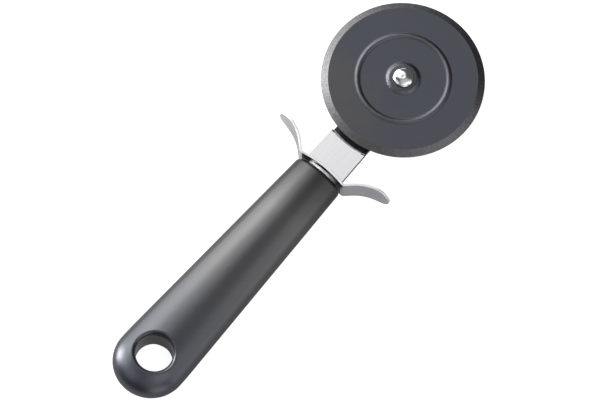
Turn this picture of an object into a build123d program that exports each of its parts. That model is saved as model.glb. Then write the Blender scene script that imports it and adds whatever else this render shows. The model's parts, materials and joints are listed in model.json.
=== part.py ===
from build123d import *
from math import asin, atan2, cos, degrees, radians, sin, sqrt, tan
import os

os.makedirs("parts", exist_ok=True)

# A pizza cutter lying on its back, in millimetres. X runs from the handle's butt to the wheel,
# Z is up through the wheel's bevelled face, and the origin is under the middle of its length.

# Places along the tool, each measured back from the axle
axle_to_butt = 175.9
axle_to_hang_hole = 158.1
axle_to_handle_front = 53.2
axle_to_guard = 50.6
axle_to_tang_end = 118.0

# Wheel: a steel disc with one ground bevel, a pressed bead and a pressed hub boss
wheel_radius = 34.0
wheel_thickness = 2.0
wheel_bevel_width = 2.9
wheel_edge_land = 0.3
bead_radius = 19.0
bead_width = 2.2
bead_height = 0.5
boss_top_radius = 5.9
boss_side_run = 1.3
boss_height = 0.9
boss_wall = 1.4

# Axle: a rivet through a sleeve, with a collar between the wheel and the arm
sleeve_radius = 3.0
sleeve_wall = 0.95
running_fit = 0.05
wheel_end_play = 0.1
collar_foot_radius = 7.0
collar_foot_gap = 0.5
collar_nose_radius = 4.4
collar_chamfer = 0.4
wheel_to_arm = 4.6
rivet_head_radius = 4.3
rivet_head_height = 1.45
rivet_dimple_radius = 0.8
rivet_dimple_depth = 0.15
head_washer_radius = 3.8
head_washer_thickness = 0.2
tail_washer_radius = 4.5
tail_washer_thickness = 0.8
rivet_tail_radius = 3.4
rivet_tail_height = 1.1

# Strap: wide in front of the guard, stepped down behind the wheel, narrow inside the handle
strap_thickness = 2.5
strap_guard_half_width = 9.15
strap_step_half_width = 8.8
step_radius = 36.1
step_run = 1.2
step_drop = 1.6
step_outer_bend = 0.9
step_inner_bend = 0.5
strap_corner_radius = 0.5
arm_half_width = 8.4
arm_shoulder_run = 0.8
arm_shoulder_radius = 0.9
tang_half_width = 5.5
tang_corner_radius = 2.5
tang_key_radius = 2.6
tang_key_count = 3

# Guard: a strip bowed toward the wheel, with a slot for the tang and two bent wings
guard_thickness = 1.1
guard_half_height = 6.4
guard_plate_half_width = 10.5
guard_plate_radius = 50.0
guard_bend_radius = 1.6
guard_wing_angle = 44.0
guard_wing_straight = 2.9
guard_wing_radius = 21.1
guard_wing_sweep = 46.0
guard_tip_length = 8.0

# Bolster: an oval boss on the tang, between the guard and the handle
bolster_half_width = 7.0
bolster_half_height = 4.5

# Handle: an oval taper with a round butt, a hard core and a softer skin
handle_half_thickness = 8.4
handle_front_half_width = 11.34
butt_radius = 15.8
butt_blend_length = 8.0
front_edge_radius = 2.0
skin_thickness = 1.8
skin_front_thickness = 2.2
hang_bore_radius = 7.7
hang_ring_wall = 1.5
hang_ring_half_height = 5.6
hang_skin_radius = 8.1
hang_lip_radius = 1.2

# Extra length that carries every cut clear of what it cuts
overrun = 1.0

# Places in the frame, worked out from the sizes above
overall_length = axle_to_butt + wheel_radius
axle_x = overall_length / 2 - wheel_radius
guard_x = axle_x - axle_to_guard
handle_front_x = axle_x - axle_to_handle_front
hang_hole_x = axle_x - axle_to_hang_hole
butt_centre_x = axle_x - axle_to_butt + butt_radius

# Heights in the frame
mid_height = handle_half_thickness
strap_top = mid_height + strap_thickness / 2
strap_bottom = strap_top - strap_thickness
arm_top = strap_top - step_drop
arm_bottom = arm_top - strap_thickness
wheel_back = arm_top + wheel_to_arm
wheel_face = wheel_back + wheel_thickness
boss_top = wheel_face + boss_height
head_washer_bottom = boss_top + wheel_end_play
head_washer_top = head_washer_bottom + head_washer_thickness
collar_top = boss_top - boss_wall - wheel_end_play
tail_washer_bottom = arm_bottom - tail_washer_thickness

axle_plane = Plane(origin=(axle_x, 0, 0))
# Radius from the axle on its first axis, height on its second
axle_section = Plane(origin=(axle_x, 0, 0), x_dir=(-1, 0, 0), z_dir=(0, 1, 0))
axle_line = Axis((axle_x, 0, 0), (0, 0, 1))


def cross_plane(x):
    """A plane across the handle at x, with its centre on the handle's middle line."""
    return Plane(origin=(x, 0, mid_height), x_dir=(0, 1, 0), z_dir=(1, 0, 0))


def handle_half_width(x):
    """Half the handle's width: a straight taper that eases out where it meets the butt."""
    length = handle_front_x - butt_centre_x
    slope = (butt_radius - handle_front_half_width) / (length - butt_blend_length / 2)
    from_butt = x - butt_centre_x
    if from_butt < butt_blend_length:
        return butt_radius - slope * from_butt**2 / (2 * butt_blend_length)
    return butt_radius - slope * (from_butt - butt_blend_length / 2)


def oval_body(front_x, inset):
    """The handle's outer form, drawn in by an inset all round."""
    half_thickness = handle_half_thickness - inset
    blend_x = butt_centre_x + butt_blend_length
    with BuildPart() as body:
        for x in (front_x, blend_x):
            with BuildSketch(cross_plane(x)):
                Ellipse(handle_half_width(x) - inset, half_thickness)
        loft(ruled=True)
        for x in (blend_x, (blend_x + butt_centre_x) / 2, butt_centre_x):
            with BuildSketch(cross_plane(x)):
                Ellipse(handle_half_width(x) - inset, half_thickness)
        loft()
        with BuildSketch(cross_plane(butt_centre_x)):
            Ellipse(butt_radius - inset, half_thickness)
            Rectangle(butt_radius, 2 * half_thickness, align=(Align.MAX, Align.CENTER), mode=Mode.SUBTRACT)
        revolve(axis=Axis((butt_centre_x, 0, 0), (0, 0, 1)), revolution_arc=180)
    return body.part


def bead_line(height):
    """One face of the pressed bead, as an arc across it in the axle section."""
    ThreePointArc(
        (bead_radius + bead_width / 2, height),
        (bead_radius, height + bead_height),
        (bead_radius - bead_width / 2, height),
    )


# Cutting wheel
boss_base_radius = boss_top_radius + boss_side_run
recess_radius = boss_top_radius - boss_side_run / 2
recess_top = boss_top - boss_wall
bore_radius = sleeve_radius + running_fit
with BuildPart() as cutting_wheel:
    with BuildSketch(axle_section):
        with BuildLine():
            Polyline(
                (bead_radius - bead_width / 2, wheel_face),
                (boss_base_radius, wheel_face),
                (boss_top_radius, boss_top),
                (bore_radius, boss_top),
                (bore_radius, recess_top),
                (recess_radius, recess_top),
                (recess_radius + boss_side_run, wheel_back),
                (bead_radius - bead_width / 2, wheel_back),
            )
            bead_line(wheel_back)
            Polyline(
                (bead_radius + bead_width / 2, wheel_back),
                (wheel_radius, wheel_back),
                (wheel_radius, wheel_back + wheel_edge_land),
                (wheel_radius - wheel_bevel_width, wheel_face),
                (bead_radius + bead_width / 2, wheel_face),
            )
            bead_line(wheel_face)
        make_face()
    revolve(axis=axle_line)
cutting_wheel.part.label = "cutting_wheel"
export_step(cutting_wheel.part, "parts/cutting_wheel.step")

# Axle sleeve, clamped between the arm and the rivet's head
with BuildPart() as axle_sleeve:
    with BuildSketch(axle_plane.offset(arm_top)):
        Circle(sleeve_radius)
        Circle(sleeve_radius - sleeve_wall, mode=Mode.SUBTRACT)
    extrude(amount=head_washer_top - arm_top)
axle_sleeve.part.label = "axle_sleeve"
export_step(axle_sleeve.part, "parts/axle_sleeve.step")

# Spacer collar on the sleeve: a broad foot on the arm and a nose up into the wheel's hub recess
with BuildPart() as spacer_collar:
    with BuildSketch(axle_plane.offset(arm_top)):
        Circle(collar_foot_radius)
    extrude(amount=wheel_to_arm - collar_foot_gap)
    with BuildSketch(axle_plane.offset(arm_top)):
        Circle(collar_nose_radius)
    extrude(amount=collar_top - arm_top)
    with BuildSketch(axle_plane.offset(arm_top)):
        Circle(sleeve_radius)
    extrude(amount=collar_top - arm_top, mode=Mode.SUBTRACT)
    chamfer(spacer_collar.edges().group_by(Axis.Z)[-1].sort_by(SortBy.RADIUS)[-1], collar_chamfer)
spacer_collar.part.label = "spacer_collar"
export_step(spacer_collar.part, "parts/spacer_collar.step")

# Washer under the rivet's head
with BuildPart() as head_washer:
    with BuildSketch(axle_plane.offset(head_washer_bottom)):
        Circle(head_washer_radius)
        Circle(sleeve_radius, mode=Mode.SUBTRACT)
    extrude(amount=head_washer_thickness)
head_washer.part.label = "head_washer"
export_step(head_washer.part, "parts/head_washer.step")

# Washer under the rivet's tail
shank_radius = sleeve_radius - sleeve_wall
with BuildPart() as tail_washer:
    with BuildSketch(axle_plane.offset(tail_washer_bottom)):
        Circle(tail_washer_radius)
        Circle(shank_radius, mode=Mode.SUBTRACT)
    extrude(amount=tail_washer_thickness)
tail_washer.part.label = "tail_washer"
export_step(tail_washer.part, "parts/tail_washer.step")

# Axle rivet: a domed head with a small dimple, a shank and a clinched tail
head_top = head_washer_top + rivet_head_height
dimple_ball_radius = (rivet_dimple_radius**2 + rivet_dimple_depth**2) / (2 * rivet_dimple_depth)
with BuildPart() as axle_rivet:
    with BuildSketch(axle_section):
        with BuildLine():
            dome = EllipticalCenterArc(
                (0, head_washer_top),
                rivet_head_radius,
                rivet_head_height,
                start_angle=0,
                arc_size=90,
            )
            clinch = EllipticalCenterArc(
                (0, tail_washer_bottom),
                rivet_tail_radius,
                rivet_tail_height,
                start_angle=270,
                arc_size=90,
            )
            Line(dome @ 1, clinch @ 0)
            Polyline(
                clinch @ 1,
                (shank_radius, tail_washer_bottom),
                (shank_radius, head_washer_top),
                dome @ 0,
            )
        make_face()
    revolve(axis=axle_line)
    with Locations((axle_x, 0, head_top + dimple_ball_radius - rivet_dimple_depth)):
        Sphere(dimple_ball_radius, mode=Mode.SUBTRACT)
axle_rivet.part.label = "axle_rivet"
export_step(axle_rivet.part, "parts/axle_rivet.step")

# Strap arm: the sheet's section is turned about the axle, so that its step is an arc round the
# wheel, and is cut to its outline seen from above
step_foot = step_radius - step_run
step_shift = strap_thickness * tan(atan2(step_drop, step_run) / 2)
sheet_reach = axle_to_tang_end + overrun
plate_front_radius = guard_plate_radius + guard_thickness / 2
plate_fall = plate_front_radius - sqrt(plate_front_radius**2 - tang_half_width**2)
shoulder_reach = axle_to_guard - guard_thickness / 2 + plate_fall
tang_key_spacing = (axle_to_tang_end - axle_to_handle_front) / (tang_key_count + 1)
tang_key_x = axle_x - (axle_to_tang_end + axle_to_handle_front) / 2
with BuildPart() as strap_arm:
    with BuildSketch(axle_section):
        with BuildLine():
            upper = FilletPolyline(
                (0, arm_top),
                (step_foot, arm_top),
                (step_radius, strap_top),
                (sheet_reach, strap_top),
                radius=[step_inner_bend, step_outer_bend],
            )
            lower = FilletPolyline(
                (0, arm_bottom),
                (step_foot + step_shift, arm_bottom),
                (step_radius + step_shift, strap_bottom),
                (sheet_reach, strap_bottom),
                radius=[step_outer_bend, step_inner_bend],
            )
            Line(upper @ 0, lower @ 0)
            Line(upper @ 1, lower @ 1)
        make_face()
    revolve(axis=axle_line)
    with BuildSketch(axle_plane.offset(arm_bottom - overrun)):
        with BuildLine():
            ThreePointArc(
                (arm_half_width, 0),
                (arm_half_width * cos(radians(45)), arm_half_width * sin(radians(45))),
                (0, arm_half_width),
            )
            side = FilletPolyline(
                (0, arm_half_width),
                (-step_radius, arm_half_width),
                (-step_radius - arm_shoulder_run, strap_step_half_width),
                (-shoulder_reach, strap_guard_half_width),
                (-shoulder_reach, tang_half_width),
                radius=[arm_shoulder_radius, arm_shoulder_radius, strap_corner_radius],
            )
            FilletPolyline(
                side @ 1,
                (-axle_to_tang_end, tang_half_width),
                (-axle_to_tang_end, 0),
                radius=tang_corner_radius,
            )
            mirror(about=Plane.XZ)
        make_face()
    extrude(amount=strap_top - arm_bottom + 2 * overrun, mode=Mode.INTERSECT)
    with BuildSketch(axle_plane.offset(arm_bottom - overrun)):
        Circle(shank_radius)
    extrude(amount=strap_top - arm_bottom + 2 * overrun, mode=Mode.SUBTRACT)
    with BuildSketch(Plane(origin=(tang_key_x, 0, strap_bottom - overrun))):
        with GridLocations(tang_key_spacing, 0, tang_key_count, 1):
            Circle(tang_key_radius)
    extrude(amount=strap_thickness + 2 * overrun, mode=Mode.SUBTRACT)
strap_arm.part.label = "strap_arm"
export_step(strap_arm.part, "parts/strap_arm.step")

# Thumb guard: a strip bent forward at both sides, with a slot that the tang goes through
plate_turn = degrees(asin(guard_plate_half_width / guard_plate_radius))
with BuildPart() as thumb_guard:
    with BuildSketch(Plane.XY.offset(mid_height - guard_half_height)):
        with BuildLine():
            plate = JernArc((guard_x, 0), (0, 1), guard_plate_radius, plate_turn)
            bend = JernArc(plate @ 1, plate % 1, guard_bend_radius, -guard_wing_angle - plate_turn)
            wing_root = Line(bend @ 1, bend @ 1 + guard_wing_straight * (bend % 1))
            wing = JernArc(wing_root @ 1, wing_root % 1, guard_wing_radius, guard_wing_sweep)
            mirror(about=Plane.XZ)
        trace(line_width=guard_thickness)
    extrude(amount=2 * guard_half_height)
    tip_start = (wing @ 1).Y - guard_tip_length
    with BuildSketch(cross_plane(handle_front_x)):
        with BuildLine():
            Line((0, guard_half_height), (tip_start, guard_half_height))
            EllipticalCenterArc((tip_start, 0), guard_tip_length, guard_half_height, start_angle=0, arc_size=90)
            mirror(about=Plane.XZ)
            mirror(about=Plane.YZ)
        make_face()
    extrude(amount=guard_wing_radius, mode=Mode.INTERSECT)
    with BuildSketch(cross_plane(handle_front_x)):
        Rectangle(2 * tang_half_width, strap_thickness)
    extrude(amount=guard_x - handle_front_x + guard_thickness, mode=Mode.SUBTRACT)
thumb_guard.part.label = "thumb_guard"
export_step(thumb_guard.part, "parts/thumb_guard.step")

# Oval bolster, flat on the handle's front and hollowed to the bow of the guard
with BuildPart() as oval_bolster:
    with BuildSketch(cross_plane(handle_front_x)):
        Ellipse(bolster_half_width, bolster_half_height)
    extrude(amount=guard_x - handle_front_x)
    with BuildSketch(Plane(origin=(guard_x - guard_plate_radius, 0, 0))):
        Circle(guard_plate_radius - guard_thickness / 2)
    extrude(amount=2 * mid_height, mode=Mode.INTERSECT)
    add(strap_arm.part, mode=Mode.SUBTRACT)
oval_bolster.part.label = "oval_bolster"
export_step(oval_bolster.part, "parts/oval_bolster.step")

# Handle core, moulded round the tang, with a flat-ended ring for hanging
hang_plane = Plane(origin=(hang_hole_x, 0, mid_height))
hang_ring_radius = hang_bore_radius + hang_ring_wall
with BuildPart() as handle_core:
    add(oval_body(handle_front_x - skin_front_thickness, skin_thickness))
    for side in (1, -1):
        with BuildSketch(hang_plane.offset(side * hang_ring_half_height)):
            Circle(hang_ring_radius)
        extrude(amount=side * handle_half_thickness, mode=Mode.SUBTRACT)
    with BuildSketch(hang_plane.offset(-hang_ring_half_height)):
        Circle(hang_ring_radius)
    extrude(amount=2 * hang_ring_half_height)
    with BuildSketch(hang_plane.offset(-handle_half_thickness)):
        Circle(hang_bore_radius)
    extrude(amount=2 * handle_half_thickness, mode=Mode.SUBTRACT)
    add(strap_arm.part, mode=Mode.SUBTRACT)
handle_core.part.label = "handle_core"
export_step(handle_core.part, "parts/handle_core.step")

# Handle grip, the skin over the core, open over the ring and round the tang
with BuildPart() as handle_grip:
    add(oval_body(handle_front_x, 0))
    fillet(handle_grip.edges().group_by(Axis.X)[-1], front_edge_radius)
    with BuildSketch(hang_plane.offset(-handle_half_thickness - overrun)):
        Circle(hang_skin_radius)
    extrude(amount=2 * (handle_half_thickness + overrun), mode=Mode.SUBTRACT)
    lips = handle_grip.faces().filter_by(GeomType.CYLINDER).edges().filter_by(GeomType.LINE, reverse=True)
    fillet(lips, hang_lip_radius)
    add(handle_core.part, mode=Mode.SUBTRACT)
    with BuildSketch(hang_plane.offset(-handle_half_thickness - overrun)):
        Circle(hang_skin_radius)
    extrude(amount=2 * (handle_half_thickness + overrun), mode=Mode.SUBTRACT)
    add(strap_arm.part, mode=Mode.SUBTRACT)
handle_grip.part.label = "handle_grip"
export_step(handle_grip.part, "parts/handle_grip.step")
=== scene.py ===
import bpy
import bmesh
import json
from math import asin, cos, pi, radians, sin, sqrt
from mathutils import Matrix, Quaternion, Vector

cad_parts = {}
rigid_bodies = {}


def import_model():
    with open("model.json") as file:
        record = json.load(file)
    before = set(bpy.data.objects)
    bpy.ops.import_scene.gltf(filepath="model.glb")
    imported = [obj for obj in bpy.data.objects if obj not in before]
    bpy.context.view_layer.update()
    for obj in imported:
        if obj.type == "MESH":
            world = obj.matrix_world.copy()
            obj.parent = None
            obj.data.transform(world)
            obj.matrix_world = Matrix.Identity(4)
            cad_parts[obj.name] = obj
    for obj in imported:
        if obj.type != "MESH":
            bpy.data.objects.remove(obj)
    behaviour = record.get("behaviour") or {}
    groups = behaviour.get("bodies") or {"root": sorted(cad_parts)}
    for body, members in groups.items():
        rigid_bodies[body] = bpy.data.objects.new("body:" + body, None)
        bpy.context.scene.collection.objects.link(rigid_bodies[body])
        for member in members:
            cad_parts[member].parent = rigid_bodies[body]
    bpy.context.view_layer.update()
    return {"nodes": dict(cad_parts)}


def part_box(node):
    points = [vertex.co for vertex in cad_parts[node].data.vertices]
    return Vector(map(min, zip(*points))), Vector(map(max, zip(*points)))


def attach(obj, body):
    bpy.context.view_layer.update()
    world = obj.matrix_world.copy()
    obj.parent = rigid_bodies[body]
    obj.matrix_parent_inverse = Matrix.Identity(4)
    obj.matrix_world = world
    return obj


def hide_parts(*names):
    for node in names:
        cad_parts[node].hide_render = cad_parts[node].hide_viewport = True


mm = 0.001

for leftover in list(bpy.data.objects):
    bpy.data.objects.remove(leftover)
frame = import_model()
nodes = frame["nodes"]
print("frame loaded:", len(nodes), "nodes")

# places that everything else is built from, read off the frame
wheelLow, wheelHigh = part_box("cutting_wheel")
gripLow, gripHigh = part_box("handle_grip")
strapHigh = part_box("strap_arm")[1]
rivetLow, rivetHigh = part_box("axle_rivet")
axleX = (wheelLow.x + wheelHigh.x) / 2
wheelRadius = (wheelHigh.x - wheelLow.x) / 2
midHeight = (gripLow.z + gripHigh.z) / 2
axlePoint = Vector((axleX, 0, 0))
upAxis = Vector((0, 0, 1))


# node helpers


def newMaterial(name):
    material = bpy.data.materials.new(name)
    material.use_nodes = True
    tree = material.node_tree
    tree.nodes.clear()
    output = tree.nodes.new("ShaderNodeOutputMaterial")
    shader = tree.nodes.new("ShaderNodeBsdfPrincipled")
    tree.links.new(shader.outputs["BSDF"], output.inputs["Surface"])
    return material, tree, shader


def addNode(tree, kind, **values):
    # sockets and settings are both given by name
    node = tree.nodes.new("ShaderNode" + kind)
    for key, value in values.items():
        if key in node.inputs:
            node.inputs[key].default_value = value
        else:
            setattr(node, key, value)
    return node


def combine(tree, operation, first, second):
    node = addNode(tree, "Math", operation=operation)
    tree.links.new(first, node.inputs[0])
    tree.links.new(second, node.inputs[1])
    return node.outputs["Value"]


def vectorNode(tree, operation, vector, constant=None):
    node = addNode(tree, "VectorMath", operation=operation)
    tree.links.new(vector, node.inputs[0])
    if constant is not None:
        node.inputs[1].default_value = constant
    return node


def objectPoint(tree, centre=(0, 0, 0)):
    place = addNode(tree, "TexCoord")
    mapping = addNode(tree, "Mapping", Location=tuple(-c for c in centre))
    tree.links.new(place.outputs["Object"], mapping.inputs["Vector"])
    return mapping.outputs["Vector"]


def noiseAt(tree, vector, scale=1.0, detail=3.0, roughness=0.5):
    noise = addNode(tree, "TexNoise", Scale=scale, Detail=detail, Roughness=roughness)
    tree.links.new(vector, noise.inputs["Vector"])
    return noise.outputs["Fac"]


def spread(tree, value, low, high, start=0.3, end=0.7):
    ranged = addNode(tree, "MapRange")
    ranged.inputs["From Min"].default_value = start
    ranged.inputs["From Max"].default_value = end
    ranged.inputs["To Min"].default_value = low
    ranged.inputs["To Max"].default_value = high
    tree.links.new(value, ranged.inputs["Value"])
    return ranged.outputs["Result"]


def colourRamp(tree, value, stops):
    ramp = addNode(tree, "ValToRGB")
    points = ramp.color_ramp.elements
    while len(points) < len(stops):
        points.new(0.5)
    for point, (position, colour) in zip(points, stops):
        point.position = position
        point.color = (*colour, 1)
    tree.links.new(value, ramp.inputs["Fac"])
    return ramp.outputs["Color"]


def blendColours(tree, value, first, second, start=0.3, end=0.7):
    return colourRamp(tree, value, [(start, first), (end, second)])


def addBump(tree, shader, height, strength, distance):
    bump = addNode(tree, "Bump", Strength=strength, Distance=distance)
    tree.links.new(height, bump.inputs["Height"])
    tree.links.new(bump.outputs["Normal"], shader.inputs["Normal"])


def aroundAxle(tree, alongRing, acrossRing):
    # a point that runs slowly or fast round the ring and across it, with no seam
    flat = vectorNode(tree, "MULTIPLY", objectPoint(tree, axlePoint), (1, 1, 0))
    direction = vectorNode(tree, "NORMALIZE", flat.outputs["Vector"])
    scaled = vectorNode(tree, "SCALE", direction.outputs["Vector"])
    scaled.inputs["Scale"].default_value = alongRing
    length = vectorNode(tree, "LENGTH", flat.outputs["Vector"])
    radius = addNode(tree, "Math", operation="MULTIPLY")
    radius.inputs[1].default_value = acrossRing
    tree.links.new(length.outputs["Value"], radius.inputs[0])
    lift = addNode(tree, "CombineXYZ")
    tree.links.new(radius.outputs["Value"], lift.inputs["Z"])
    total = vectorNode(tree, "ADD", scaled.outputs["Vector"])
    tree.links.new(lift.outputs["Vector"], total.inputs[1])
    return total.outputs["Vector"]


# materials

plasticGloss = dict(level=1.0, ior=1.6)


def newMetal(name, metallic=1.0):
    material, tree, shader = newMaterial(name)
    shader.inputs["Metallic"].default_value = metallic
    return material, tree, shader


def newPlastic(name, gloss=plasticGloss):
    material, tree, shader = newMaterial(name)
    shader.inputs["Specular IOR Level"].default_value = gloss["level"]
    shader.inputs["IOR"].default_value = gloss["ior"]
    return material, tree, shader


def layFinish(tree, shader, look, tone, fine):
    # colour comes from the tone pattern, gloss and relief from the fine one
    tree.links.new(blendColours(tree, tone, look["dark"], look["light"]), shader.inputs["Base Color"])
    tree.links.new(spread(tree, fine, *look["roughness"]), shader.inputs["Roughness"])
    addBump(tree, shader, fine, look["relief"], look["reliefDepth"])


bladeLook = dict(
    warm=(0.098, 0.098, 0.100), cool=(0.086, 0.090, 0.108), warmUntil=0.18, coolFrom=0.42,
    driftToward=(6.5, -7.6, 0.0), cloud=dict(scale=45.0, detail=5.0, roughness=0.6),
    grain=dict(scale=1900.0, detail=3.0, roughness=0.6), swirlStretch=(9.0, 4000.0), swirlDetail=4.0,
    roughness=(0.31, 0.41), roughnessSpan=(0.7, 1.3), relief=0.10, reliefDepth=0.2 * mm,
)


def bladeFaceMaterial(look=bladeLook):
    # dark coating whose cloudy tone drifts from warm to cool, with a fine grain and faint turned marks
    material, tree, shader = newMetal("bladeFace")
    point = objectPoint(tree, axlePoint)
    drift = vectorNode(tree, "DOT_PRODUCT", point, look["driftToward"])
    cloud = combine(tree, "ADD", noiseAt(tree, point, **look["cloud"]), drift.outputs["Value"])
    tone = blendColours(tree, cloud, look["warm"], look["cool"], look["warmUntil"], look["coolFrom"])
    tree.links.new(tone, shader.inputs["Base Color"])
    swirl = noiseAt(tree, aroundAxle(tree, *look["swirlStretch"]), detail=look["swirlDetail"])
    marks = combine(tree, "ADD", swirl, noiseAt(tree, point, **look["grain"]))
    satin = spread(tree, marks, *look["roughness"], *look["roughnessSpan"])
    tree.links.new(satin, shader.inputs["Roughness"])
    addBump(tree, shader, marks, look["relief"], look["reliefDepth"])
    return material


groundBase = dict(
    strokeStretch=(110.0, 600.0), strokeNoise=dict(detail=5.0, roughness=0.65),
    relief=0.35, reliefDepth=0.3 * mm,
)
bevelLook = dict(groundBase, dark=(0.095, 0.095, 0.098), light=(0.18, 0.18, 0.182), roughness=(0.26, 0.36))
wornLook = dict(groundBase, dark=(0.104, 0.107, 0.116), light=(0.138, 0.141, 0.150), roughness=(0.20, 0.28))
beadLook = dict(groundBase, dark=(0.10, 0.102, 0.110), light=(0.125, 0.127, 0.135), roughness=(0.30, 0.38))


def groundMaterial(name, look):
    # bared metal with short grinding strokes across the ring
    material, tree, shader = newMetal(name)
    strokes = noiseAt(tree, aroundAxle(tree, *look["strokeStretch"]), **look["strokeNoise"])
    layFinish(tree, shader, look, strokes, strokes)
    return material


rivetLook = dict(
    dark=(0.74, 0.74, 0.75), light=(0.9, 0.9, 0.9), roughness=(0.09, 0.13), fanning=0.3,
    ringStretch=(2.0, 9000.0), relief=0.05, reliefDepth=0.1 * mm,
)


def rivetMaterial(look=rivetLook):
    # lathe marks run round the axle, so highlights open into two fans
    material, tree, shader = newMetal("rivetPolish")
    shader.inputs["Anisotropic"].default_value = look["fanning"]
    rings = noiseAt(tree, aroundAxle(tree, *look["ringStretch"]))
    layFinish(tree, shader, look, rings, rings)
    around = vectorNode(tree, "CROSS_PRODUCT", objectPoint(tree, axlePoint), upAxis)
    tree.links.new(around.outputs["Vector"], shader.inputs["Tangent"])
    return material


strapLook = dict(
    dark=(0.82, 0.82, 0.83), light=(0.88, 0.88, 0.885), strokeStretch=(60.0, 1500.0, 300.0),
    smooth=(0.13, 0.20), frost=0.42, bendFrom=34.95 * mm, bendTo=35.5 * mm, bendFade=0.2 * mm,
    relief=0.03, reliefDepth=0.1 * mm,
)


def strapMaterial(look=strapLook):
    # polished along its length, and frosted where the step was pressed in
    material, tree, shader = newMaterial("strapPolish")
    stretch = addNode(tree, "Mapping", Scale=look["strokeStretch"])
    tree.links.new(objectPoint(tree), stretch.inputs["Vector"])
    strokes = noiseAt(tree, stretch.outputs["Vector"])
    tree.links.new(blendColours(tree, strokes, look["dark"], look["light"]), shader.inputs["Base Color"])
    reach = vectorNode(tree, "LENGTH", objectPoint(tree, (axleX, 0, midHeight))).outputs["Value"]
    bendIn = spread(tree, reach, 0.0, 1.0, look["bendFrom"] - look["bendFade"], look["bendFrom"])
    bendOut = spread(tree, reach, 1.0, 0.0, look["bendTo"], look["bendTo"] + look["bendFade"])
    onBend = combine(tree, "MULTIPLY", bendIn, bendOut)
    frost = spread(tree, onBend, 0.0, look["frost"], 0.0, 1.0)
    roughness = combine(tree, "ADD", spread(tree, strokes, *look["smooth"]), frost)
    tree.links.new(roughness, shader.inputs["Roughness"])
    tree.links.new(spread(tree, onBend, 1.0, 0.0, 0.0, 1.0), shader.inputs["Metallic"])
    addBump(tree, shader, strokes, look["relief"], look["reliefDepth"])
    return material


# the finishes below add to these or change them
steelBase = dict(
    metallic=1.0, cloudScale=120.0, grain=dict(scale=900.0, detail=4.0), relief=0.05, reliefDepth=0.2 * mm,
)
plasticBase = dict(
    cloudScale=60.0, grain=dict(scale=2500.0, detail=2.0), relief=0.06, reliefDepth=0.1 * mm,
)
# a sheared edge, painted near-black as the shade along the strap's sides
shearedPaintedShadeLook = dict(steelBase, dark=(0.06, 0.06, 0.062), light=(0.12, 0.12, 0.122), roughness=(0.4, 0.55))
guardLook = dict(
    steelBase, dark=(0.66, 0.685, 0.70), light=(0.74, 0.765, 0.78), roughness=(0.12, 0.20), relief=0.02,
)
guardEdgeLook = dict(
    steelBase, dark=(0.82, 0.82, 0.825), light=(0.86, 0.86, 0.865), roughness=(0.40, 0.50), relief=0.02,
)
# painted shade: a near-black colour put where the gaps behind the guard plate and before the bolster's nose
# lie in shade
guardPaintedShadeLook = dict(
    steelBase, dark=(0.012, 0.012, 0.013), light=(0.02, 0.02, 0.021), roughness=(0.2, 0.3),
)
bolsterLook = dict(
    steelBase, dark=(0.955, 0.965, 0.975), light=(0.97, 0.98, 0.985), roughness=(0.32, 0.40), relief=0.02,
    metallic=0.5,
)
turnedLook = dict(steelBase, dark=(0.5, 0.5, 0.51), light=(0.6, 0.6, 0.61), roughness=(0.3, 0.4))
coreLook = dict(
    plasticBase, dark=(0.030, 0.030, 0.032), light=(0.040, 0.040, 0.042), roughness=(0.24, 0.30),
)
bushLook = dict(plasticBase, dark=(0.012, 0.012, 0.013), light=(0.02, 0.02, 0.021), roughness=(0.4, 0.5))


def cloudyMaterial(material, tree, shader, look):
    # faint clouds in the colour, and a fine grain in gloss and relief
    point = objectPoint(tree)
    cloud = noiseAt(tree, point, look["cloudScale"])
    layFinish(tree, shader, look, cloud, noiseAt(tree, point, **look["grain"]))
    return material


def steelMaterial(name, look):
    return cloudyMaterial(*newMetal(name, look["metallic"]), look)


def plasticMaterial(name, look):
    return cloudyMaterial(*newPlastic(name), look)


gripLook = dict(
    butt=(0.0100, 0.0108, 0.0170), front=(0.0095, 0.0095, 0.0100), frontFrom=0.8,
    buttEnd=-95.0 * mm, frontEnd=17.0 * mm, roughness=(0.30, 0.35), cloudScale=40.0,
    grain=dict(scale=2100.0, detail=2.0), relief=0.065, reliefDepth=0.1 * mm,
    # painted shade in the reflections: tinted darker and bluer toward the butt, and down to half strength at
    # the front end
    gloss=[
        (0.05, (0.78, 0.81, 0.90)), (0.42, (0.94, 0.94, 0.94)),
        (0.79, (1.0, 1.0, 1.0)), (1.0, (0.5, 0.5, 0.5)),
    ],
)


def gripMaterial(look=gripLook):
    # satin moulding with a fine grain, a little cooler toward the butt; its reflections are painted darker
    # toward both ends as painted shade
    material, tree, shader = newPlastic("gripSatin")
    point = objectPoint(tree)
    parts = addNode(tree, "SeparateXYZ")
    tree.links.new(point, parts.inputs["Vector"])
    along = spread(tree, parts.outputs["X"], 0.0, 1.0, look["buttEnd"], look["frontEnd"])
    base = colourRamp(tree, along, [(0.0, look["butt"]), (look["frontFrom"], look["front"])])
    tree.links.new(base, shader.inputs["Base Color"])
    tree.links.new(colourRamp(tree, along, look["gloss"]), shader.inputs["Specular Tint"])
    cloud = noiseAt(tree, point, look["cloudScale"])
    tree.links.new(spread(tree, cloud, *look["roughness"]), shader.inputs["Roughness"])
    addBump(tree, shader, noiseAt(tree, point, **look["grain"]), look["relief"], look["reliefDepth"])
    return material


bladeFace = bladeFaceMaterial()
bladeBevel = groundMaterial("bladeBevel", bevelLook)
bladeWorn = groundMaterial("bladeWorn", wornLook)
bladeBead = groundMaterial("bladeBead", beadLook)
rivetSteel = rivetMaterial()
strapSteel = strapMaterial()
shearedPaintedShade = steelMaterial("shearedEdgePaintedShade", shearedPaintedShadeLook)
guardSteel = steelMaterial("guardPolish", guardLook)
guardEdge = steelMaterial("guardEdge", guardEdgeLook)
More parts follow.
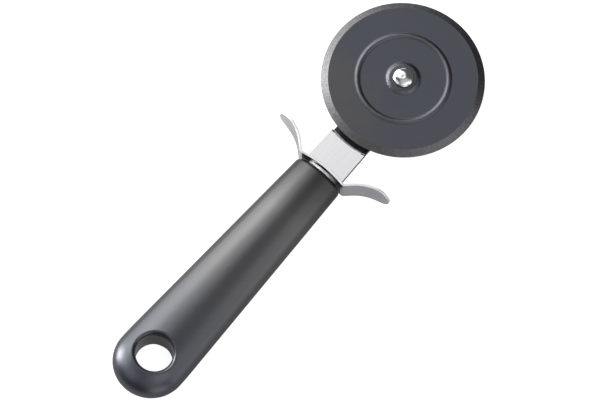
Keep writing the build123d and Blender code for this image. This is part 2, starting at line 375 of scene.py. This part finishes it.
# painted shade for the shaded gaps at the guard plate's rear and the bolster's nose
guardPaintedShade = steelMaterial("guardPaintedShade", guardPaintedShadeLook)
bolsterSteel = steelMaterial("bolsterSatin", bolsterLook)
turnedSteel = steelMaterial("turnedSteel", turnedLook)
gripPlastic = gripMaterial()
corePlastic = plasticMaterial("coreSatin", coreLook)
bushPlastic = plasticMaterial("bushPlastic", bushLook)
print("materials made:", len(bpy.data.materials))


# mesh helpers

weldGap = 0.002 * mm
seamGap = 0.001 * mm  # between the two halves of a mirrored piece
edgeSettings = dict(segments=3, limit_method="ANGLE", angle_limit=radians(50))

# shading that follows the big faces, so flats stay flat beside their rounded edges
evenNormals = ("WEIGHTED_NORMAL", dict(mode="FACE_AREA", weight=100, keep_sharp=True))


def within(value, low=0, high=1):
    return min(max(value, low), high)


def onlyVerts(geom):
    return [g for g in geom if isinstance(g, bmesh.types.BMVert)]


def onlyEdges(geom):
    return [g for g in geom if isinstance(g, bmesh.types.BMEdge)]


def linkObject(name, data):
    made = bpy.data.objects.new(name, data)
    bpy.context.scene.collection.objects.link(made)
    return made


def meshObject(bm, name):
    mesh = bpy.data.meshes.new(name)
    bm.to_mesh(mesh)
    bm.free()
    return linkObject(name, mesh)


def finishPiece(bm, name, body, replaced, materials, sharpAngle, modifiers=()):
    bmesh.ops.remove_doubles(bm, verts=bm.verts, dist=weldGap)
    bmesh.ops.recalc_face_normals(bm, faces=bm.faces)
    for face in bm.faces:
        face.smooth = True
    for edge in bm.edges:
        edge.smooth = edge.calc_face_angle(0.0) < radians(sharpAngle)
    piece = meshObject(bm, name)
    for material in materials:
        piece.data.materials.append(material)
    for kind, values in modifiers:
        modifier = piece.modifiers.new(kind.lower(), kind)
        for key, value in values.items():
            setattr(modifier, key, value)
    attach(piece, body)
    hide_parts(*replaced)


def profileLine(bm, points, closed=True):
    # a line of (radius, height) points in the plane that runs from the axle toward the handle
    verts = [bm.verts.new((axleX - radius, 0, height)) for radius, height in points]
    following = verts[1:] + verts[:1] if closed else verts[1:]
    for pair in zip(verts, following):
        bm.edges.new(pair)
    return verts


def spinRound(bm, steps):
    geom = list(bm.verts) + list(bm.edges)
    bmesh.ops.spin(
        bm, geom=geom, cent=axlePoint, axis=upAxis, dvec=(0, 0, 0),
        angle=2 * pi, steps=steps, use_merge=True, use_duplicate=False,
    )


# cutting wheel

bladeSizes = dict(
    thickness=2.0 * mm, bevelWidth=2.9 * mm, edgeLand=0.3 * mm, beadRadius=19.0 * mm,
    beadWidth=2.2 * mm, beadCrest=0.3, beadHeight=0.42 * mm, bossTop=5.9 * mm, bossRun=1.3 * mm,
    bossWall=1.4 * mm, bore=3.05 * mm, cornerRound=0.35 * mm, cornerSteps=4, aroundSteps=160,
    wornAbove=0.1 * mm, beadAbove=0.25 * mm, bevelSlack=0.01 * mm, sharpAngle=24.0,
)


def makeBlade(s=bladeSizes):
    back = wheelLow.z
    top = wheelHigh.z
    face = back + s["thickness"]
    bead = s["beadRadius"]
    foot = s["beadWidth"] / 2
    crest = foot * s["beadCrest"]
    bevelStart = wheelRadius - s["bevelWidth"]
    recess = s["bossTop"] - s["bossRun"] / 2
    recessTop = top - s["bossWall"]
    points = [
        (s["bore"], top), (s["bossTop"], top), (s["bossTop"] + s["bossRun"], face),
        (bead - foot, face), (bead - crest, face + s["beadHeight"]),
        (bead + crest, face + s["beadHeight"]), (bead + foot, face),
        (bevelStart, face), (wheelRadius, back + s["edgeLand"]), (wheelRadius, back),
        (bead + foot, back), (bead + crest, back + s["beadHeight"]),
        (bead - crest, back + s["beadHeight"]), (bead - foot, back),
        (recess + s["bossRun"], back), (recess, recessTop), (s["bore"], recessTop),
    ]
    bm = bmesh.new()
    verts = profileLine(bm, points)
    pressed = verts[1:7] + verts[10:16]  # all but the bore, the bevel's start and the rim
    bmesh.ops.bevel(
        bm, geom=pressed, offset=s["cornerRound"], offset_type="OFFSET", segments=s["cornerSteps"],
        profile=0.5, affect="VERTICES", material=-1,
    )
    spinRound(bm, s["aroundSteps"])
    looks = [bladeFace, bladeBevel, bladeWorn, bladeBead]
    for ringFace in bm.faces:
        middle = ringFace.calc_center_median()
        radius = sqrt((middle.x - axleX) ** 2 + middle.y ** 2)
        if radius > bevelStart + s["bevelSlack"] and middle.z > back + s["bevelSlack"]:
            ringFace.material_index = looks.index(bladeBevel)
        elif s["bossTop"] < radius < s["bossTop"] + s["bossRun"] and middle.z > face + s["wornAbove"]:
            ringFace.material_index = looks.index(bladeWorn)
        elif abs(radius - bead) < foot and middle.z > face + s["beadAbove"]:
            ringFace.material_index = looks.index(bladeBead)
    finishPiece(
        bm, "wheelBlade", "wheel", ["cutting_wheel"], looks, s["sharpAngle"], [evenNormals],
    )


makeBlade()
print("wheel made")


# rivet

rivetSizes = dict(
    headRadius=4.3 * mm, headHeight=1.45 * mm, shankRadius=2.05 * mm, tailRadius=3.4 * mm,
    tailHeight=1.1 * mm, dimpleRadius=0.8 * mm, dimpleDepth=0.12 * mm, domeSteps=10, aroundSteps=96,
    sharpAngle=50.0,
)


def makeRivet(s=rivetSizes):
    headBase = rivetHigh.z - s["headHeight"]
    tailBase = rivetLow.z + s["tailHeight"]
    steps = s["domeSteps"]
    head = []
    tail = []
    for k in range(steps + 1):
        turn = pi / 2 * (1 - k / steps)
        radius = s["headRadius"] * cos(turn)
        height = headBase + s["headHeight"] * sin(turn)
        if radius < s["dimpleRadius"]:
            height -= s["dimpleDepth"] * (1 - (radius / s["dimpleRadius"]) ** 2)
        head.append((radius, height))
        turn = pi / 2 * k / steps
        tail.append((s["tailRadius"] * cos(turn), tailBase - s["tailHeight"] * sin(turn)))
    bm = bmesh.new()
    shank = [(s["shankRadius"], headBase), (s["shankRadius"], tailBase)]
    profileLine(bm, head + shank + tail, closed=False)
    spinRound(bm, s["aroundSteps"])
    finishPiece(bm, "rivetPin", "tool", ["axle_rivet"], [rivetSteel], s["sharpAngle"])


makeRivet()
print("rivet made")


# strap

strapSizes = dict(
    thickness=2.5 * mm, drop=1.6 * mm, footRadius=34.95 * mm, topRadius=35.8 * mm,
    armHalfWidth=8.4 * mm, stepHalfWidth=8.8 * mm, guardHalfWidth=9.15 * mm, tangHalfWidth=5.5 * mm,
    guardReach=50.6 * mm, shoulder=0.4 * mm, tangReach=117.8 * mm, edgeRound=0.15 * mm, across=24,
    bowFrom=24 * mm, bowIn=9 * mm, bowTo=46 * mm, bowOut=8 * mm,  # there, rows follow rings about the axle
    capShares=(1.0, 0.8, 0.55, 0.3), armRows=(0, 6, 12, 18, 24, 29, 33, 34.2), stepRows=8,
    neckRows=(36.4, 38, 41, 45, 49), tangRows=(60, 90), sideTilt=0.1, sharpAngle=40.0,
)


def stepShare(reach, s):
    return within((reach - s["footRadius"]) / (s["topRadius"] - s["footRadius"]))


def strapHeight(reach, s):
    share = stepShare(reach, s)
    return strapHigh.z - s["drop"] * (1 - share * share * (3 - 2 * share))


def strapHalfWidth(reach, s):
    if reach > s["guardReach"]:
        return s["tangHalfWidth"]
    narrow = s["armHalfWidth"] + (s["stepHalfWidth"] - s["armHalfWidth"]) * stepShare(reach, s)
    along = max(reach - s["topRadius"], 0) / (s["guardReach"] - s["topRadius"])
    return narrow + (s["guardHalfWidth"] - s["stepHalfWidth"]) * along


def strapReaches(s):
    # how far from the axle each row of points lies, closest together on the step
    stepRun = s["topRadius"] - s["footRadius"]
    reaches = [reach * mm for reach in s["armRows"]]
    reaches += [s["footRadius"] + stepRun * k / s["stepRows"] for k in range(s["stepRows"] + 1)]
    reaches += [reach * mm for reach in s["neckRows"]]
    reaches += [s["guardReach"], s["guardReach"] + s["shoulder"]]
    reaches += [reach * mm for reach in s["tangRows"]]
    return reaches + [s["tangReach"]]


def makeStrap(s=strapSizes):
    reaches = strapReaches(s)
    caps = len(s["capShares"])
    rows = caps + len(reaches)
    bm = bmesh.new()
    bmesh.ops.create_grid(bm, x_segments=rows - 1, y_segments=s["across"], size=0.5)
    for vert in bm.verts:
        row = round((vert.co.x + 0.5) * (rows - 1))
        turn = vert.co.y * pi
        if row < caps:  # the round end, in front of the axle
            ahead = s["capShares"][row] * s["armHalfWidth"] * cos(turn)
            vert.co = (axleX + ahead, s["armHalfWidth"] * sin(turn), strapHigh.z - s["drop"])
            continue
        reach = reaches[row - caps]
        y = strapHalfWidth(reach, s) * sin(turn)
        bow = within((reach - s["bowFrom"]) / s["bowIn"]) * within((s["bowTo"] - reach) / s["bowOut"])
        sag = reach - sqrt(reach * reach - y * y) if bow > 0 else 0
        vert.co = (axleX - reach + bow * sag, y, strapHeight(reach, s))
    # the underside is the same sheet one thickness lower, so the step keeps its shape on both sides
    pressed = bmesh.ops.extrude_face_region(bm, geom=list(bm.faces), use_keep_orig=True)
    bmesh.ops.translate(bm, verts=onlyVerts(pressed["geom"]), vec=(0, 0, -s["thickness"]))
    bm.normal_update()
    looks = [strapSteel, shearedPaintedShade]
    # the upright sides take the sheared edge's colour, which is painted shade as well
    for face in bm.faces:
        onSide = abs(face.normal.z) < s["sideTilt"]
        face.material_index = looks.index(shearedPaintedShade if onSide else strapSteel)
    edge = dict(edgeSettings, width=s["edgeRound"], material=looks.index(strapSteel))
    finishPiece(
        bm, "steelStrap", "tool", ["strap_arm"], looks, s["sharpAngle"],
        [("BEVEL", edge), evenNormals],
    )


makeStrap()
print("strap made")


# thumb guard

guardSizes = dict(
    reach=50.6 * mm, thickness=1.1 * mm, halfHeight=6.4 * mm, edgeRound=0.12 * mm,
    plateHalf=10.5 * mm, plateRadius=50.0 * mm, plateSteps=8, bendRadius=1.6 * mm, bendSteps=8,
    wingAngle=44.0, wingStraight=2.9 * mm, wingRadius=21.1 * mm, wingSweep=46.0, wingSteps=40,
    tipLength=6.4 * mm, tipStop=0.9995, sharpAngle=30.0,
)


def bendOn(bm, geom, centre, angle, steps):
    # carries the strip's open end on round an upright axis
    spun = bmesh.ops.spin(
        bm, geom=geom, cent=centre, axis=upAxis, dvec=(0, 0, 0), angle=angle, steps=steps,
    )
    return [g for g in spun["geom_last"] if not isinstance(g, bmesh.types.BMFace)]


def makeGuard(s=guardSizes):
    startX = axleX - s["reach"]
    plateTurn = asin(s["plateHalf"] / s["plateRadius"])
    bm = bmesh.new()
    low = bm.verts.new((startX, 0, midHeight - s["halfHeight"]))
    high = bm.verts.new((startX, 0, midHeight + s["halfHeight"]))
    geom = [low, high, bm.edges.new((low, high))]
    centre = Vector((startX - s["plateRadius"], 0, 0))
    geom = bendOn(bm, geom, centre, plateTurn, s["plateSteps"])
    heading = pi / 2 + plateTurn  # of the path, from the X axis
    centre = onlyVerts(geom)[0].co + s["bendRadius"] * Vector((sin(heading), -cos(heading), 0))
    turn = radians(s["wingAngle"]) + plateTurn
    geom = bendOn(bm, geom, centre, -turn, s["bendSteps"])
    heading -= turn
    straight = bmesh.ops.extrude_edge_only(bm, edges=onlyEdges(geom))
    ends = onlyVerts(straight["geom"])
    bmesh.ops.translate(bm, verts=ends, vec=s["wingStraight"] * Vector((cos(heading), sin(heading), 0)))
    geom = ends + [e for e in ends[0].link_edges if e.other_vert(ends[0]) in ends]
    centre = ends[0].co + s["wingRadius"] * Vector((-sin(heading), cos(heading), 0))
    bendOn(bm, geom, centre, radians(s["wingSweep"]), s["wingSteps"])
    tipY = max(v.co.y for v in bm.verts)
    for vert in bm.verts:
        along = within((vert.co.y - tipY + s["tipLength"]) / s["tipLength"], high=s["tipStop"])
        vert.co.z = midHeight + (vert.co.z - midHeight) * sqrt(1 - along * along)
    half = list(bm.verts) + list(bm.edges) + list(bm.faces)
    bmesh.ops.mirror(bm, geom=half, matrix=Matrix(), merge_dist=seamGap, axis="Y")
    for face in bm.faces:
        face.material_index = 0 if abs(face.calc_center_median().y) < s["plateHalf"] else 1
    # the solidify offsets below pick: plate front, wing front, plate rear, wing rear, rims; the plate rear is
    # painted shade, near-black where the gap to the handle lies in shade
    looks = [guardSteel, guardSteel, guardPaintedShade, guardSteel, guardEdge, guardEdge]
    rearOffset = 2
    rimOffset = 4
    wall = dict(
        thickness=s["thickness"], offset=0, use_even_offset=True,
        material_offset=rearOffset, material_offset_rim=rimOffset,
    )
    edge = dict(edgeSettings, width=s["edgeRound"], material=rimOffset)
    finishPiece(
        bm, "guardStrip", "tool", ["thumb_guard"], looks, s["sharpAngle"],
        [("SOLIDIFY", wall), ("BEVEL", edge), evenNormals],
    )


makeGuard()
print("guard made")


# bolster

bolsterSizes = dict(
    halfWidth=7.0 * mm, halfHeight=4.5 * mm, aroundSteps=72, noseRound=0.3 * mm, noseSteps=5,
    sharpAngle=20.0,
)


def makeBolster(s=bolsterSizes):
    low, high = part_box("oval_bolster")
    bm = bmesh.new()
    bmesh.ops.create_circle(bm, cap_ends=True, segments=s["aroundSteps"], radius=1.0)
    bmesh.ops.scale(bm, vec=(s["halfHeight"], s["halfWidth"], 1), verts=bm.verts)
    bmesh.ops.rotate(bm, cent=(0, 0, 0), matrix=Matrix.Rotation(pi / 2, 3, "Y"), verts=bm.verts)
    bmesh.ops.translate(bm, vec=(low.x, 0, midHeight), verts=bm.verts)
    drawn = bmesh.ops.extrude_face_region(bm, geom=list(bm.faces))
    moved = onlyVerts(drawn["geom"])
    bmesh.ops.translate(bm, vec=(high.x - low.x, 0, 0), verts=moved)
    nose = [e for e in bm.edges if all(v in moved for v in e.verts)]
    bmesh.ops.bevel(
        bm, geom=nose, offset=s["noseRound"], offset_type="OFFSET", segments=s["noseSteps"],
        profile=0.5, affect="EDGES", material=-1,
    )
    # the rounded nose is painted shade, near-black where it faces the guard across a shaded gap
    looks = [bolsterSteel, guardPaintedShade]
    for face in bm.faces:
        onNose = face.calc_center_median().x > high.x - s["noseRound"]
        face.material_index = looks.index(guardPaintedShade if onNose else bolsterSteel)
    finishPiece(
        bm, "bolsterBoss", "tool", ["oval_bolster"], looks, s["sharpAngle"], [evenNormals],
    )


makeBolster()
print("bolster made")


# frame nodes that keep their shape

keptLooks = dict(
    handle_grip=gripPlastic, handle_core=corePlastic, spacer_collar=bushPlastic,
    axle_sleeve=turnedSteel, head_washer=turnedSteel, tail_washer=turnedSteel,
)
for nodeName, material in keptLooks.items():
    for slotPlace in nodes[nodeName].material_slots:
        slotPlace.material = material
print("frame nodes dressed:", len(keptLooks))


# stage and light

stageSettings = dict(
    size=6.0, colour=(0.50, 0.50, 0.50), roughness=0.9, seenByCamera=0.9, seenInGloss=0.1,
)


def makeFloor(s=stageSettings):
    bm = bmesh.new()
    bmesh.ops.create_grid(bm, x_segments=1, y_segments=1, size=s["size"])
    floor = meshObject(bm, "floor")
    material, tree, shader = newMaterial("paleFloor")
    shader.inputs["Base Color"].default_value = (*s["colour"], 1)
    shader.inputs["Roughness"].default_value = s["roughness"]
    shader.inputs["Specular IOR Level"].default_value = 0.0
    shader.inputs["Emission Color"].default_value = (1, 1, 1, 1)
    path = addNode(tree, "LightPath")
    mirrored = combine(tree, "MAXIMUM", path.outputs["Is Glossy Ray"], path.outputs["Is Transmission Ray"])
    inGloss = spread(tree, mirrored, 0.0, s["seenInGloss"], 0.0, 1.0)
    byCamera = spread(tree, path.outputs["Is Camera Ray"], 0.0, s["seenByCamera"], 0.0, 1.0)
    tree.links.new(combine(tree, "ADD", inGloss, byCamera), shader.inputs["Emission Strength"])
    floor.data.materials.append(material)


def skyPoint(azimuth, elevation):
    a, e = radians(azimuth), radians(elevation)
    return Vector((cos(e) * cos(a), cos(e) * sin(a), sin(e)))


def placeFacing(holder, azimuth, elevation, distance, aim=(0, 0, 0), roll=0.0):
    # stands off from the aim in the given direction and looks back at it
    back = skyPoint(azimuth, elevation)
    holder.location = Vector(aim) + back * distance
    holder.rotation_mode = "QUATERNION"
    level = (-back).to_track_quat("-Z", "Y")
    holder.rotation_quaternion = level @ Quaternion((0, 0, 1), radians(roll))


lampSettings = [
    dict(name="keyPanel", azimuth=90.0, elevation=26.0, distance=1.2, width=1.70, height=1.08, radiance=2.7),
    dict(name="keyCore", azimuth=74.0, elevation=40.0, distance=1.1, width=0.76, height=0.55, radiance=1.2),
    dict(name="keySide", azimuth=110.0, elevation=13.0, distance=1.0, width=0.30, height=0.42, radiance=14.0),
]


def makeLamp(name, azimuth, elevation, distance, width, height, radiance):
    lamp = bpy.data.lights.new(name, "AREA")
    lamp.shape = "RECTANGLE"
    lamp.size = width
    lamp.size_y = height
    lamp.energy = radiance * pi * width * height
    holder = linkObject(name, lamp)
    placeFacing(holder, azimuth, elevation, distance)
    holder.visible_camera = False


roomSettings = dict(dim=0.10, tint=(0.98, 0.98, 1.0))
glowSettings = [
    dict(azimuth=58.0, elevation=57.0, core=4.0, reach=22.0, level=2.0),
    dict(azimuth=270.0, elevation=78.0, core=5.0, reach=30.0, level=0.5),
    dict(azimuth=296.0, elevation=48.0, core=4.0, reach=20.0, level=0.75),
    dict(azimuth=262.0, elevation=56.0, core=8.0, reach=20.0, level=1.1),
    dict(azimuth=288.0, elevation=30.0, core=4.0, reach=20.0, level=0.75),
    dict(azimuth=284.0, elevation=12.0, core=4.0, reach=22.0, level=1.0),
    dict(azimuth=240.0, elevation=14.0, core=6.0, reach=28.0, level=1.4),
    dict(azimuth=220.0, elevation=50.0, core=6.0, reach=26.0, level=0.55),
    dict(azimuth=150.0, elevation=46.0, core=6.0, reach=26.0, level=0.9),
    dict(azimuth=38.0, elevation=8.0, core=3.0, reach=15.0, level=0.9),
]


def makeWorld(s=roomSettings, glows=glowSettings):
    # a dim room with soft glows on its walls, each fading out from a core
    world = bpy.data.worlds.new("studio")
    bpy.context.scene.world = world
    world.use_nodes = True
    tree = world.node_tree
    tree.nodes.clear()
    output = tree.nodes.new("ShaderNodeOutputWorld")
    background = tree.nodes.new("ShaderNodeBackground")
    tree.links.new(background.outputs["Background"], output.inputs["Surface"])
    place = addNode(tree, "TexCoord")
    total = None
    for glow in glows:
        centre = skyPoint(glow["azimuth"], glow["elevation"])
        toward = vectorNode(tree, "DOT_PRODUCT", place.outputs["Generated"], centre)
        fade = addNode(tree, "MapRange", interpolation_type="SMOOTHSTEP")
        fade.inputs["From Min"].default_value = cos(radians(glow["reach"]))
        fade.inputs["From Max"].default_value = cos(radians(glow["core"]))
        fade.inputs["To Max"].default_value = glow["level"]
        tree.links.new(toward.outputs["Value"], fade.inputs["Value"])
        # the first glow is added to the dim room, each later one to the sum so far
        sumNode = addNode(tree, "Math", operation="ADD")
        sumNode.inputs[1].default_value = s["dim"]
        tree.links.new(fade.outputs["Result"], sumNode.inputs[0])
        if total:
            tree.links.new(total, sumNode.inputs[1])
        total = sumNode.outputs["Value"]
    background.inputs["Color"].default_value = (*s["tint"], 1)
    tree.links.new(total, background.inputs["Strength"])


makeFloor()
for settings in lampSettings:
    makeLamp(**settings)
makeWorld()
print("stage and light made")


# camera

cameraSettings = dict(
    lens=600.0, azimuth=215.134, elevation=70.698, roll=5.479, distance=4.1167,
    aim=(2.95 * mm, -1.84 * mm, 12.88 * mm), farthest=50.0,
)


def makeCamera(s=cameraSettings):
    camera = bpy.data.cameras.new("camera")
    camera.lens = s["lens"]
    camera.clip_end = s["farthest"]
    holder = linkObject("camera", camera)
    placeFacing(holder, s["azimuth"], s["elevation"], s["distance"], s["aim"], s["roll"])
    bpy.context.scene.camera = holder


makeCamera()
bpy.context.scene.view_settings.view_transform = "Standard"
print("camera made")
